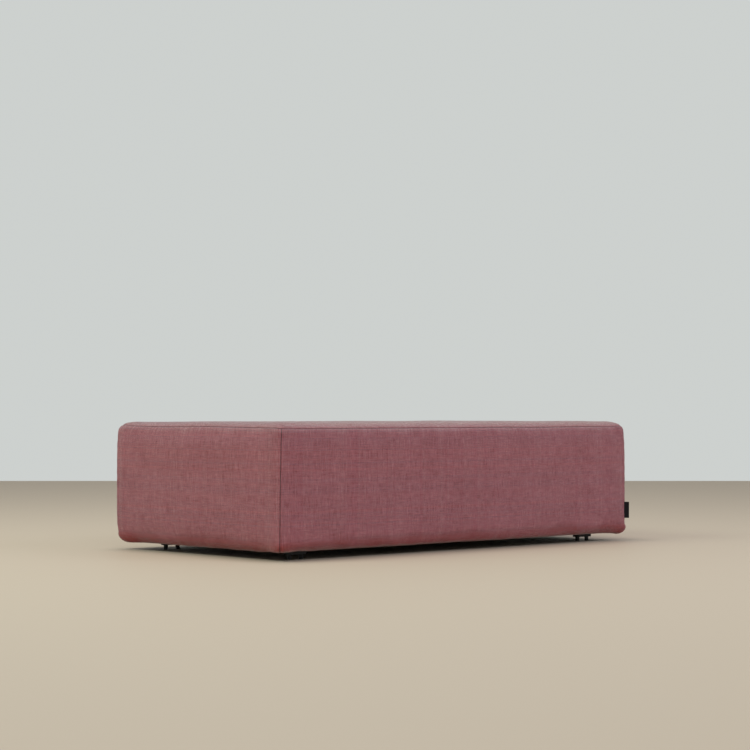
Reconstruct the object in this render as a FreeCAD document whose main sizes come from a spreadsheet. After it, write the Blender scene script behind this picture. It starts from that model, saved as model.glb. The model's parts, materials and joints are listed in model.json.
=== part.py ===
# A long upholstered divan without a back or arms.
# A softwood frame carries zigzag springs, felt, two layers of foam and a fibre wrap.
# A boxed fabric cover is turned under the frame, and four moulded feet hold it off the floor.
# Millimetres, +X along the length, +Y from the front to the back, +Z up.
# The origin is on the floor, under the middle of the block.
import FreeCAD, Part
import os

os.makedirs("parts", exist_ok=True)
doc = FreeCAD.newDocument("Divan")
sheet = doc.addObject("Spreadsheet::Sheet", "sizes")

drivingSizes = {
    # The finished block
    "blockLength": 1525,
    "blockWidth": 803,
    "blockHeight": 400,
    "floorGap": 28,
    "seamDrop": 15,
    # Cover, wrap and foam
    "coverThickness": 1.5,
    "hemMargin": 3,
    "wrapThickness": 6,
    "sideFoamThickness": 20,
    "comfortFoamThickness": 42,
    "foamCornerRadius": 6.5,
    "foamTopRadius": 22.5,
    "foamBottomRadius": 10.5,
    "feltThickness": 3,
    # Timber
    "railThickness": 22,
    "railHeight": 150,
    "crossRailThickness": 20,
    "crossRailHeight": 60,
    "crossRailSpacing": 500,
    "cornerBlockSide": 45,
    "footBoardWidth": 130,
    "footBoardThickness": 15,
    # Springs, clips and nails
    "springCount": 10,
    "springEndInset": 105,
    "wireDiameter": 3.8,
    "springLoopWidth": 56,
    "springBarPitch": 30,
    "clipWidth": 18,
    "clipLength": 20,
    "clipWall": 1.3,
    "clipClearance": 0.15,
    "clipBarOffset": 4,
    "clipNailOffset": 6,
    "nailDiameter": 2.4,
    "nailHeadDiameter": 6,
    "nailHeadThickness": 1,
    "nailLength": 22,
    # Feet: a plate with two tapered pegs
    "footPlateLength": 68,
    "footPlateWidth": 28,
    "footPlateThickness": 13,
    "footPlateCorner": 6,
    "pegSpacing": 46,
    "pegTopDiameter": 14,
    "pegTipDiameter": 12.5,
    "pegTipRounding": 1,
    "footEndInset": 130,
    "footFrontInset": 85,
    "footBackInset": 123,
    # Screws
    "footScrewSpacing": 16,
    "footScrewDiameter": 4,
    "footScrewHead": 8,
    "footScrewLength": 24,
    "frameScrewDiameter": 4.5,
    "frameScrewHead": 9,
    "frameScrewLength": 50,
    "frameScrewSpread": 70,
    "screwClearance": 0.1,
    # Underside cloth, staples and the tag in the corner seam
    "dustCoverThickness": 1,
    "dustCoverInset": 6,
    "staplePitch": 80,
    "stapleLength": 10,
    "stapleWire": 1.2,
    "stapleInset": 6,
    "tagReach": 15.5,
    "tagHeight": 54,
    "tagThickness": 1.2,
    "tagRise": 75.5,
}
for row, (alias, number) in enumerate(drivingSizes.items(), start=1):
    sheet.set(f"A{row}", alias)
    sheet.set(f"B{row}", str(number))
    sheet.setAlias(f"B{row}", alias)
doc.recompute()


def size(expression):
    """The number that an expression on the sheet gives."""
    return float(sheet.evalExpression(expression))


def bind(thing, bindings):
    for name, expression in bindings.items():
        thing.setExpression(name, expression)
    return thing


up = FreeCAD.Vector(0, 0, 1)
hair = 1e-6  # shorter than any real edge
pipeTolerance = 0.01

# Expressions that several pieces share
halfLength = "sizes.blockLength / 2"
halfWidth = "sizes.blockWidth / 2"
layers = "(sizes.coverThickness + sizes.wrapThickness)"
padding = f"({layers} + sizes.sideFoamThickness)"
railBottom = "(sizes.floorGap + sizes.coverThickness)"
railTop = f"({railBottom} + sizes.railHeight)"
clipHeight = "(2 * sizes.clipWall + sizes.wireDiameter + 2 * sizes.clipClearance)"
feltBottom = f"({railTop} + {clipHeight})"
feltTop = f"({feltBottom} + sizes.feltThickness)"
comfortBottom = f"(sizes.blockHeight - {layers} - sizes.comfortFoamThickness)"
seamHeight = "(sizes.blockHeight - sizes.seamDrop)"
frameLength = f"(sizes.blockLength - 2 * {padding})"
frameWidth = f"(sizes.blockWidth - 2 * {padding})"
innerLength = f"({frameLength} - 2 * sizes.railThickness)"
innerWidth = f"({frameWidth} - 2 * sizes.railThickness)"
footHeight = "(sizes.floorGap - sizes.dustCoverThickness)"


def box(name, length, width, height, x, y, z):
    """A box of the given size, with its low corner at x, y, z."""
    return bind(doc.addObject("Part::Box", name), {
        "Length": length,
        "Width": width,
        "Height": height,
        "Placement.Base.x": x,
        "Placement.Base.y": y,
        "Placement.Base.z": z,
    })


def middleBox(name, length, width, height, x, y, z):
    """A box of the given size, centred on x and y, that stands on z."""
    return box(name, length, width, height, f"{x} - {length} / 2", f"{y} - {width} / 2", z)


def cut(name, base, tool):
    part = doc.addObject("Part::Cut", name)
    part.Base = base
    part.Tool = tool
    return part


def common(name, shapes):
    part = doc.addObject("Part::MultiCommon", name)
    part.Shapes = shapes
    return part


def gathered(name, shapes):
    """Separate solids in one object, such as a set of equal fasteners."""
    part = doc.addObject("Part::Feature", name)
    part.Shape = Part.makeCompound(shapes)
    return part


# --- The block: three crossed prisms, so that the top can be rounder than the corners ---

def roundedPrism(name, inset, direction, roundings):
    """A box as large as the block less an inset, with some edges along one direction rounded."""
    body = doc.addObject("PartDesign::Body", name)
    solid = bind(body.newObject("PartDesign::AdditiveBox", f"{name}_box"), {
        "Length": f"sizes.blockLength - 2 * {inset}",
        "Width": f"sizes.blockWidth - 2 * {inset}",
        "Height": f"sizes.blockHeight - sizes.floorGap - 2 * {inset}",
        "Placement.Base.x": f"{inset} - {halfLength}",
        "Placement.Base.y": f"{inset} - {halfWidth}",
        "Placement.Base.z": f"sizes.floorGap + {inset}",
    })
    doc.recompute()
    middle = solid.Shape.CenterOfMass
    for number, (radius, side) in enumerate(roundings):
        edges = []
        for index, edge in enumerate(solid.Shape.Edges, start=1):
            along = edge.Vertexes[1].Point - edge.Vertexes[0].Point
            onSide = side == 0 or (edge.CenterOfMass.z - middle.z) * side > 0
            if along.cross(direction).Length < hair and onSide:
                edges.append(f"Edge{index}")
        fillet = body.newObject("PartDesign::Fillet", f"{name}_round{number}")
        fillet.Base = (solid, edges)
        fillet.setExpression("Radius", f"{radius} + {layers} - {inset}")
        solid = fillet
        doc.recompute()
    body.Tip = solid
    return body


def block(name, inset):
    """The outer shape of one layer of the divan, at an inset from the finished surface."""
    above, below, anywhere = 1, -1, 0
    longSection = [("sizes.foamTopRadius", above), ("sizes.foamBottomRadius", below)]
    return common(name, [
        roundedPrism(f"{name}_ends", inset, FreeCAD.Vector(0, 1, 0), longSection),
        roundedPrism(f"{name}_sides", inset, FreeCAD.Vector(1, 0, 0), longSection),
        roundedPrism(f"{name}_plan", inset, up, [("sizes.foamCornerRadius", anywhere)]),
    ])


outside = block("block_outside", "0")
underCover = block("block_under_cover", "sizes.coverThickness")
foamShape = block("block_foam", layers)

# --- The cover: a top panel and four side panels that are turned under the frame ---

coverShell = cut("cover_shell", outside, underCover)
hemReach = f"({padding} + sizes.railThickness - sizes.hemMargin)"
hemOpening = middleBox(
    "hem_opening", f"(sizes.blockLength - 2 * {hemReach})", f"(sizes.blockWidth - 2 * {hemReach})",
    railBottom, "0", "0", "0")
aboveSeam = middleBox("above_seam", "sizes.blockLength", "sizes.blockWidth", "sizes.seamDrop",
                      "0", "0", seamHeight)
belowSeam = cut("cover_below_seam", cut("cover_opened", coverShell, hemOpening), aboveSeam)
topPanel = common("top_panel", [coverShell, aboveSeam])

sidePanels = []
for name, turn, span, reach in (
    ("front_panel", 0, halfLength, halfWidth),
    ("right_panel", 90, halfWidth, halfLength),
    ("back_panel", 180, halfLength, halfWidth),
    ("left_panel", 270, halfWidth, halfLength),
):
    # The panels meet at the corners on a mitre, so each is cut out by a wedge
    mitre = bind(doc.addObject("Part::Wedge", f"{name}_mitre"), {
        "Xmin": f"-{span} - {padding}",
        "Xmax": f"{span} + {padding}",
        "X2min": f"-{span} + {hemReach}",
        "X2max": f"{span} - {hemReach}",
        "Ymin": f"-{reach} - {padding}",
        "Ymax": f"-{reach} + {hemReach}",
        "Zmin": "0",
        "Z2min": "0",
        "Zmax": seamHeight,
        "Z2max": seamHeight,
    })
    mitre.Placement = FreeCAD.Placement(FreeCAD.Vector(), FreeCAD.Rotation(up, turn))
    sidePanels.append(common(name, [belowSeam, mitre]))

# The tag stands out of the front right corner seam, along the corner's diagonal
tagRoot = f"((sizes.foamCornerRadius + {layers}) * (sqrt(2) - 1))"
tag = doc.addObject("Part::Box", "side_tag")
bind(tag, {
    "Length": "sizes.tagReach",
    "Width": "sizes.tagThickness",
    "Height": "sizes.tagHeight",
    "Placement.Base.x": f"{halfLength} - {tagRoot} * sqrt(0.5) - sizes.tagThickness / 2 * sqrt(0.5)",
    "Placement.Base.y": f"-{halfWidth} + {tagRoot} * sqrt(0.5) - sizes.tagThickness / 2 * sqrt(0.5)",
    "Placement.Base.z": "sizes.tagRise",
})
tag.Placement.Rotation = FreeCAD.Rotation(up, -45)

# --- Wrap, foam and felt ---

wrapOpening = middleBox("wrap_opening", frameLength, frameWidth, f"({railBottom} + sizes.wrapThickness)",
                        "0", "0", "0")
fibreWrap = cut("fibre_wrap", cut("wrap_closed", underCover, foamShape), wrapOpening)

comfortFoam = common("comfort_foam", [foamShape, middleBox(
    "comfort_level", "sizes.blockLength", "sizes.blockWidth", f"(sizes.blockHeight - {comfortBottom})",
    "0", "0", comfortBottom)])
seatFoam = common("seat_foam", [foamShape, middleBox(
    "seat_level", "sizes.blockLength", "sizes.blockWidth", f"({comfortBottom} - {feltTop})",
    "0", "0", feltTop)])
springFelt = middleBox("spring_felt", frameLength, frameWidth, "sizes.feltThickness",
                       "0", "0", feltBottom)

sideFoams = []
for name, alongLength, side in (
    ("front_side_foam", True, -1),
    ("back_side_foam", True, 1),
    ("left_side_foam", False, -1),
    ("right_side_foam", False, 1),
):
    if alongLength:
        slab = middleBox(f"{name}_slab", "sizes.blockLength", padding, feltTop,
                         "0", f"{side} * ({halfWidth} - {padding} / 2)", "0")
    else:
        slab = middleBox(f"{name}_slab", padding, frameWidth, feltTop,
                         f"{side} * ({halfLength} - {padding} / 2)", "0", "0")
    sideFoams.append(common(name, [foamShape, slab]))

# --- Screws: one profile turned about its axis, used for the screws and, larger, for their holes ---


def screw(diameter, head, length, clearance=0.0):
    """A countersunk screw that points down, with the face of its head at the origin."""
    shank = diameter / 2 + clearance
    rim = head / 2 + clearance
    headDepth = rim - shank
    point = diameter
    profile = Part.makePolygon([
        FreeCAD.Vector(0, 0, 0),
        FreeCAD.Vector(rim, 0, 0),
        FreeCAD.Vector(shank, 0, -headDepth),
        FreeCAD.Vector(shank, 0, -(length - point)),
        FreeCAD.Vector(0, 0, -(length + clearance)),
        FreeCAD.Vector(0, 0, 0),
    ])
    return Part.Face(profile).revolve(FreeCAD.Vector(), up, 360)


def placed(shape, position, pointing):
    """A copy of a shape that points down, moved to a place and turned to point another way."""
    copy = shape.copy()
    copy.Placement = FreeCAD.Placement(
        FreeCAD.Vector(*position), FreeCAD.Rotation(FreeCAD.Vector(0, 0, -1), FreeCAD.Vector(*pointing)))
    return copy


def screwsAndHoles(name, kind, places):
    """The set of screws at a list of places, and the holes that they need."""
    sizes = [size(f"sizes.{kind}ScrewDiameter"), size(f"sizes.{kind}ScrewHead"),
             size(f"sizes.{kind}ScrewLength")]
    body = screw(*sizes)
    hollow = screw(*sizes, clearance=size("sizes.screwClearance"))
    screws = gathered(name, [placed(body, *place) for place in places])
    holes = gathered(f"{name}_holes", [placed(hollow, *place) for place in places])
    return screws, holes


corners = [(end, side) for end in (-1, 1) for side in (-1, 1)]
sideNames = {-1: "front", 1: "back"}
endNames = {-1: "left", 1: "right"}
crossRailPlaces = {"left": "-sizes.crossRailSpacing / 2", "right": "sizes.crossRailSpacing / 2"}

frameScrewPlaces = []
faceX, faceY = size(f"{frameLength} / 2"), size(f"{frameWidth} / 2")
blockMiddle = size("sizes.railThickness + sizes.cornerBlockSide / 2")
middleHeight = size(f"({railBottom} + {railTop}) / 2")
spread = size("sizes.frameScrewSpread / 2")
crossMiddle = size(f"{railBottom} + sizes.crossRailHeight / 2")
crossSpread = size("sizes.crossRailHeight / 4")
for end, side in corners:
    # The screws from the two sides pass each other at different heights
    apart = size("sizes.frameScrewHead")
    for level in (-1, 1):
        throughLong = (end * (faceX - blockMiddle), side * faceY, middleHeight + level * spread)
        frameScrewPlaces.append((throughLong, (0, -side, 0)))
        throughEnd = (end * faceX, side * (faceY - blockMiddle), middleHeight + level * (spread - apart))
        frameScrewPlaces.append((throughEnd, (-end, 0, 0)))
for place in crossRailPlaces.values():
    for side in (-1, 1):
        for level in (-1, 1):
            position = (size(place), side * faceY, crossMiddle + level * crossSpread)
            frameScrewPlaces.append((position, (0, -side, 0)))
frameScrews, frameHoles = screwsAndHoles("frame_screws", "frame", frameScrewPlaces)

footPlaces = {}
footScrewPlaces = []
plateUnderside = size(f"{footHeight} - sizes.footPlateThickness")
for end, side in corners:
    inset = "sizes.footFrontInset" if side < 0 else "sizes.footBackInset"
    x = f"{end} * ({halfLength} - sizes.footEndInset)"
    y = f"{side} * ({halfWidth} - {inset})"
    footPlaces[f"foot_{sideNames[side]}_{endNames[end]}"] = (x, y)
    for shift in (-0.5, 0.5):
        position = (size(f"{x} + {shift} * sizes.footScrewSpacing"), size(y), plateUnderside)
        footScrewPlaces.append((position, (0, 0, 1)))
footScrews, footHoles = screwsAndHoles("foot_screws", "foot", footScrewPlaces)

# --- Springs: a wire that runs to and fro, flat, between clips on the long rails ---

wireHeight = size(f"{railTop} + sizes.clipWall + sizes.clipClearance + sizes.wireDiameter / 2")
endBar = size(f"{frameWidth} / 2 - sizes.railThickness / 2 - sizes.clipBarOffset")


def zigzagSpring(halfSpan, loopWidth, pitch, diameter):
    """A flat spring of straight bars joined by half circles, lying along Y through the origin."""
    gaps = 2 * max(1, round(halfSpan / pitch))
    step = 2 * halfSpan / gaps
    bend = step / 2
    reach = loopWidth / 2 - bend
    edges = []
    for index in range(gaps + 1):
        y = -halfSpan + index * step
        side = 1 if index % 2 == 0 else -1
        start = FreeCAD.Vector(-side * reach, y, 0)
        stop = FreeCAD.Vector(side * reach, y, 0)
        edges.append(Part.LineSegment(start, stop).toShape())
        if index < gaps:
            crest = FreeCAD.Vector(side * (reach + bend), y + bend, 0)
            edges.append(Part.Arc(stop, crest, FreeCAD.Vector(side * reach, y + step, 0)).toShape())
    path = Part.Wire(edges)
    circle = Part.makeCircle(diameter / 2, path.Vertexes[0].Point, FreeCAD.Vector(1, 0, 0))
    section = Part.Face(Part.Wire(circle))
    spring = path.makePipe(section)
    expected = section.Area * path.Length
    assert abs(spring.Volume - expected) < pipeTolerance * expected, "the spring's volume is wrong"
    return spring


firstSpring = size(f"{frameLength} / 2 - sizes.springEndInset")
springCount = int(size("sizes.springCount"))
springStep = 2 * firstSpring / (springCount - 1)
springPlaces = [-firstSpring + index * springStep for index in range(springCount)]
springShape = zigzagSpring(endBar, size("sizes.springLoopWidth"), size("sizes.springBarPitch"),
                           size("sizes.wireDiameter"))
springs = []
for number, x in enumerate(springPlaces, start=1):
    spring = doc.addObject("Part::Feature", f"zigzag_spring_{number}")
    spring.Shape = springShape
    spring.Placement = FreeCAD.Placement(FreeCAD.Vector(x, 0, wireHeight), FreeCAD.Rotation())
    springs.append(spring)

# A clip lies on the rail, holds the spring's last bar in its bore and is nailed down beside it
clipSize = [size("sizes.clipWidth"), size("sizes.clipLength"), size(clipHeight)]
barOffset, nailOffset = size("sizes.clipBarOffset"), size("sizes.clipNailOffset")
nailRadius, nailHead = size("sizes.nailDiameter / 2"), size("sizes.nailHeadDiameter / 2")
headThickness, nailLength = size("sizes.nailHeadThickness"), size("sizes.nailLength")
bore = size("sizes.wireDiameter / 2 + sizes.clipClearance")
boreHeight = size("sizes.clipWall + sizes.clipClearance + sizes.wireDiameter / 2")
clipStock = Part.makeBox(*clipSize, FreeCAD.Vector(-clipSize[0] / 2, -clipSize[1] / 2, 0))
wireBore = Part.makeCylinder(bore, clipSize[0], FreeCAD.Vector(-clipSize[0] / 2, barOffset, boreHeight),
                             FreeCAD.Vector(1, 0, 0))
nailSeat = Part.makeCylinder(nailHead, clipSize[2], FreeCAD.Vector(0, -nailOffset, size("sizes.clipWall")))
nailWay = Part.makeCylinder(nailRadius, 2 * nailLength, FreeCAD.Vector(0, -nailOffset, -nailLength))
clipShape = clipStock.cut([wireBore, nailSeat, nailWay])
nailShape = Part.makeCylinder(
    nailHead, headThickness, FreeCAD.Vector(0, -nailOffset, size("sizes.clipWall"))).fuse(
    Part.makeCylinder(nailRadius, nailLength + headThickness,
                      FreeCAD.Vector(0, -nailOffset, size("sizes.clipWall") - nailLength))).removeSplitter()
nailHole = nailWay.copy()

clips, nails, nailHoles = [], [], []
railMiddle = size(f"{frameWidth} / 2 - sizes.railThickness / 2")
for x in springPlaces:
    for side, turn in ((-1, 0), (1, 180)):
        seat = FreeCAD.Placement(FreeCAD.Vector(x, side * railMiddle, size(railTop)),
                                 FreeCAD.Rotation(up, turn))
        for shape, group in ((clipShape, clips), (nailShape, nails), (nailHole, nailHoles)):
            copy = shape.copy()
            copy.Placement = seat
            group.append(copy)
springClips = gathered("spring_clips", clips)
clipNails = gathered("clip_nails", nails)
clipNailHoles = gathered("clip_nail_holes", nailHoles)

# --- Timber: rails, cross rails, corner blocks and the boards that the feet are screwed to ---

timber = []
for side in (-1, 1):
    name = f"{sideNames[side]}_rail"
    blank = middleBox(f"{name}_blank", frameLength, "sizes.railThickness", "sizes.railHeight",
                      "0", f"{side} * ({frameWidth} - sizes.railThickness) / 2", railBottom)
    timber.append(cut(name, cut(f"{name}_drilled", blank, frameHoles), clipNailHoles))
for end in (-1, 1):
    name = f"{endNames[end]}_rail"
    blank = middleBox(f"{name}_blank", "sizes.railThickness", innerWidth, "sizes.railHeight",
                      f"{end} * ({frameLength} - sizes.railThickness) / 2", "0", railBottom)
    timber.append(cut(name, blank, frameHoles))
for where, place in crossRailPlaces.items():
    name = f"cross_rail_{where}"
    blank = middleBox(f"{name}_blank", "sizes.crossRailThickness", innerWidth, "sizes.crossRailHeight",
                      place, "0", railBottom)
    timber.append(cut(name, blank, frameHoles))
boardTop = "(sizes.floorGap + sizes.footBoardThickness)"
for end, side in corners:
    name = f"corner_block_{sideNames[side]}_{endNames[end]}"
    blank = middleBox(f"{name}_blank", "sizes.cornerBlockSide", "sizes.cornerBlockSide",
                      f"({railTop} - {boardTop})",
                      f"{end} * ({innerLength} - sizes.cornerBlockSide) / 2",
                      f"{side} * ({innerWidth} - sizes.cornerBlockSide) / 2", boardTop)
    timber.append(cut(name, blank, frameHoles))
for end in (-1, 1):
    name = f"foot_board_{endNames[end]}"
    blank = middleBox(f"{name}_blank", "sizes.footBoardWidth", innerWidth, "sizes.footBoardThickness",
                      f"{end} * ({innerLength} - sizes.footBoardWidth) / 2", "0", "sizes.floorGap")
    timber.append(cut(name, blank, footHoles))

# --- Feet: each a plate with two tapered pegs and two countersunk holes ---

feet = []
for name, (x, y) in footPlaces.items():
    body = doc.addObject("PartDesign::Body", f"{name}_body")
    plate = bind(body.newObject("PartDesign::AdditiveBox", f"{name}_plate"), {
        "Length": "sizes.footPlateLength",
        "Width": "sizes.footPlateWidth",
        "Height": "sizes.footPlateThickness",
        "Placement.Base.x": "-sizes.footPlateLength / 2",
        "Placement.Base.y": "-sizes.footPlateWidth / 2",
        "Placement.Base.z": f"{footHeight} - sizes.footPlateThickness",
    })
    doc.recompute()
    upright = [f"Edge{index}" for index, edge in enumerate(plate.Shape.Edges, start=1)
               if abs(edge.Vertexes[0].X - edge.Vertexes[1].X) < hair
               and abs(edge.Vertexes[0].Y - edge.Vertexes[1].Y) < hair]
    rounded = body.newObject("PartDesign::Fillet", f"{name}_plate_corners")
    rounded.Base = (plate, upright)
    rounded.setExpression("Radius", "sizes.footPlateCorner")
    doc.recompute()
    for peg, shift in (("left", -0.5), ("right", 0.5)):
        bind(body.newObject("PartDesign::AdditiveCone", f"{name}_{peg}_peg"), {
            "Radius1": "sizes.pegTipDiameter / 2",
            "Radius2": "sizes.pegTopDiameter / 2",
            "Height": f"{footHeight} - sizes.footPlateThickness",
            "Placement.Base.x": f"{shift} * sizes.pegSpacing",
        })
        doc.recompute()
    pegs = body.Tip
    tips = [f"Edge{index}" for index, edge in enumerate(pegs.Shape.Edges, start=1)
            if edge.BoundBox.ZMax < hair]
    ends = body.newObject("PartDesign::Fillet", f"{name}_peg_tips")
    ends.Base = (pegs, tips)
    ends.setExpression("Radius", "sizes.pegTipRounding")
    bind(body, {"Placement.Base.x": x, "Placement.Base.y": y})
    doc.recompute()
    feet.append(cut(name, body, footHoles))

# --- Underside: a thin cloth over the turned-under cover, with staples round its edge ---

clothInset = f"({padding} + sizes.dustCoverInset)"
clothBlank = middleBox(
    "dust_cover_blank", f"(sizes.blockLength - 2 * {clothInset})", f"(sizes.blockWidth - 2 * {clothInset})",
    "sizes.dustCoverThickness", "0", "0", footHeight)
dustCover = cut("dust_cover", clothBlank, footHoles)

stapleLength, stapleWire = size("sizes.stapleLength"), size("sizes.stapleWire")
stapleShape = Part.makeBox(stapleLength, stapleWire, stapleWire / 2,
                           FreeCAD.Vector(-stapleLength / 2, -stapleWire / 2, -stapleWire / 2))
stapleX = size(f"{halfLength} - {clothInset} - sizes.stapleInset")
stapleY = size(f"{halfWidth} - {clothInset} - sizes.stapleInset")
staples = []
for run, across, turn in ((stapleX, stapleY, 0), (stapleY, stapleX, 90)):
    count = max(1, int(2 * run / size("sizes.staplePitch")))
    step = 2 * run / count
    for index in range(count):
        along = -run + (index + 0.5) * step
        for side in (-1, 1):
            copy = stapleShape.copy()
            spot = FreeCAD.Vector(along, side * across, size(footHeight))
            if turn:
                spot = FreeCAD.Vector(side * across, along, size(footHeight))
            copy.Placement = FreeCAD.Placement(spot, FreeCAD.Rotation(up, turn))
            staples.append(copy)
dustCoverStaples = gathered("dust_cover_staples", staples)

# --- Check every object, then write one file for each sub-part ---

subParts = [topPanel, *sidePanels, tag, fibreWrap, comfortFoam, seatFoam, *sideFoams, springFelt,
            *springs, springClips, clipNails, *timber, frameScrews, *feet, footScrews,
            dustCover, dustCoverStaples]
doc.recompute()
for thing in doc.Objects:
    faults = {"Invalid", "Error"} & set(thing.State)
    assert not faults, f"{thing.Label} is {faults}"
for part in subParts:
    shape = part.Shape
    assert not shape.isNull() and shape.isValid(), f"{part.Label} has no valid shape"
    assert shape.Solids and shape.Volume > 0, f"{part.Label} holds no solid"
    part.Label = part.Name
    shape.exportStep(f"parts/{part.Label}.step")
    print(f"{part.Label}: {len(shape.Solids)} solid, {shape.Volume / 1000:.1f} cm3")
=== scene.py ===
import bpy
import bmesh
import json
import math
import numpy as np
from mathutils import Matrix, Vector


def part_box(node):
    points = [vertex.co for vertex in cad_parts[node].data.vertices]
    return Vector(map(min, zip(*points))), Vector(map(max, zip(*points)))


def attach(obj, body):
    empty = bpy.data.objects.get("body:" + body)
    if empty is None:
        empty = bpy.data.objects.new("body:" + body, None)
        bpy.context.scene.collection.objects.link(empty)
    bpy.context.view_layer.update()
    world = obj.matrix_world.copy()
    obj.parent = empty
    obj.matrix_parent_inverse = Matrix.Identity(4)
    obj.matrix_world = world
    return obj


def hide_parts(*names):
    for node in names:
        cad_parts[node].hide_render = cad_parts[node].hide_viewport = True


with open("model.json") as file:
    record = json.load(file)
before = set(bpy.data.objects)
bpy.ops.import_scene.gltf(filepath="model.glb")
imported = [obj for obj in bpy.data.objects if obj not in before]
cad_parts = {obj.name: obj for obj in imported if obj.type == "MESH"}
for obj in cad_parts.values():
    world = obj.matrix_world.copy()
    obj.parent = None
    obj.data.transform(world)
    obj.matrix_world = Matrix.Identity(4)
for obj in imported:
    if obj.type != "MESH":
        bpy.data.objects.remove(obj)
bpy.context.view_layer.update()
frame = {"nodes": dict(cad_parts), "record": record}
scene = bpy.context.scene
mm = 0.001

# The finished block, read from the frame
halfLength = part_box("right_panel")[1].x
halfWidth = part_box("back_panel")[1].y
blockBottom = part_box("front_panel")[0].z
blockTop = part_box("top_panel")[1].z
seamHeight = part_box("top_panel")[0].z
tagLow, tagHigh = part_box("side_tag")
print("frame loaded: block", round(2 * halfLength, 4), round(2 * halfWidth, 4), round(blockTop, 4))


def setAll(item, **values):
    for name, value in values.items():
        setattr(item, name, value)


def addObject(name, data):
    item = bpy.data.objects.new(name, data)
    scene.collection.objects.link(item)
    return item


def placed(item, position, direction):
    # Cameras and lamps look along their own -Z
    item.location = position
    item.rotation_mode = "QUATERNION"
    item.rotation_quaternion = direction.to_track_quat("-Z", "Y")


camera = {
    "position": (-4.5235, -4.8457, 0.425),
    "yaw": 42.907,  # degrees from +Y towards +X
    "pitch": 1.093,
    "lens": 97.67,
    "sensor": 36,
    "reach": 100,
}


def makeCamera():
    data = bpy.data.cameras.new("camera")
    setAll(data, sensor_width=camera["sensor"], lens=camera["lens"], clip_end=camera["reach"])
    item = addObject("camera", data)
    yaw, pitch = math.radians(camera["yaw"]), math.radians(camera["pitch"])
    forward = (math.sin(yaw) * math.cos(pitch), math.cos(yaw) * math.cos(pitch), math.sin(pitch))
    placed(item, camera["position"], Vector(forward))
    scene.camera = item


makeCamera()
print("camera made")


# Short names for the nodes that the finishes are built from

def setInputs(tree, node, inputs):
    for socket, value in inputs.items():
        if isinstance(value, bpy.types.NodeSocket):
            tree.links.new(value, node.inputs[socket])
        else:
            node.inputs[socket].default_value = value


def addNode(tree, kind, inputs=None, **settings):
    node = tree.nodes.new(kind)
    setAll(node, **settings)
    setInputs(tree, node, inputs or {})
    return node


def after(kind, inputs, **settings):
    # A node in the tree that its inputs come from
    tree = next(value.id_data for value in inputs.values() if isinstance(value, bpy.types.NodeSocket))
    return addNode(tree, kind, inputs, **settings).outputs


def maths(operation, *values, clamp=False):
    return after("ShaderNodeMath", dict(enumerate(values)), operation=operation, use_clamp=clamp)[0]


def product(first, second):
    return maths("MULTIPLY", first, second)


def total(first, second, clamp=False):
    return maths("ADD", first, second, clamp=clamp)


def noise(place, scale=1.0, detail=2.0, roughness=0.5):
    inputs = {"Vector": place, "Scale": scale, "Detail": detail, "Roughness": roughness}
    return after("ShaderNodeTexNoise", inputs)["Fac"]


def cells(place, size):
    return after("ShaderNodeTexVoronoi", {"Vector": place, "Scale": 1 / size})["Distance"]


def stretched(place, scale):
    return after("ShaderNodeMapping", {"Vector": place, "Scale": scale})[0]


def span(value, fromLow, fromHigh, toLow=0.0, toHigh=1.0):
    inputs = {"Value": value, "From Min": fromLow, "From Max": fromHigh, "To Min": toLow, "To Max": toHigh}
    return after("ShaderNodeMapRange", inputs)[0]


def mixed(share, first, second):
    return after("ShaderNodeMix", {0: share, 6: first, 7: second}, data_type="RGBA")[2]


def blended(share, first, second):
    return after("ShaderNodeMix", {0: share, 2: first, 3: second}, data_type="FLOAT")[0]


def times(first, second):
    return after("ShaderNodeVectorMath", {0: first, 1: second}, operation="MULTIPLY")[0]


def scaled(colour, factor):
    return after("ShaderNodeVectorMath", {0: colour, "Scale": factor}, operation="SCALE")[0]


def vector(**parts):
    return after("ShaderNodeCombineXYZ", parts)[0]


def axes(place, letters):
    parts = after("ShaderNodeSeparateXYZ", {"Vector": place})
    return [parts[letter] for letter in letters]


def bumped(height, distance, strength=1.0):
    return after("ShaderNodeBump", {"Height": height, "Distance": distance, "Strength": strength})[0]


def objectPlace(tree):
    return addNode(tree, "ShaderNodeTexCoord").outputs["Object"]


def weavePlace(tree):
    return addNode(tree, "ShaderNodeUVMap", uv_map="Weave").outputs["UV"]


def rgb(red, green, blue):
    return (red, green, blue, 1.0)


def shades(share, colour, darkest, lightest):
    # From a darker to a lighter shade of one colour
    dark = rgb(*[part * darkest for part in colour[:3]])
    light = rgb(*[min(part * lightest, 1.0) for part in colour[:3]])
    return mixed(share, dark, light)


def newMaterial(name):
    material = bpy.data.materials.new(name)
    material.use_nodes = True
    return material, material.node_tree


def surfaced(material, inputs):
    tree = material.node_tree
    setInputs(tree, tree.nodes["Principled BSDF"], inputs)
    return material


# The cover cloth: a two-colour melange weave

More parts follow.
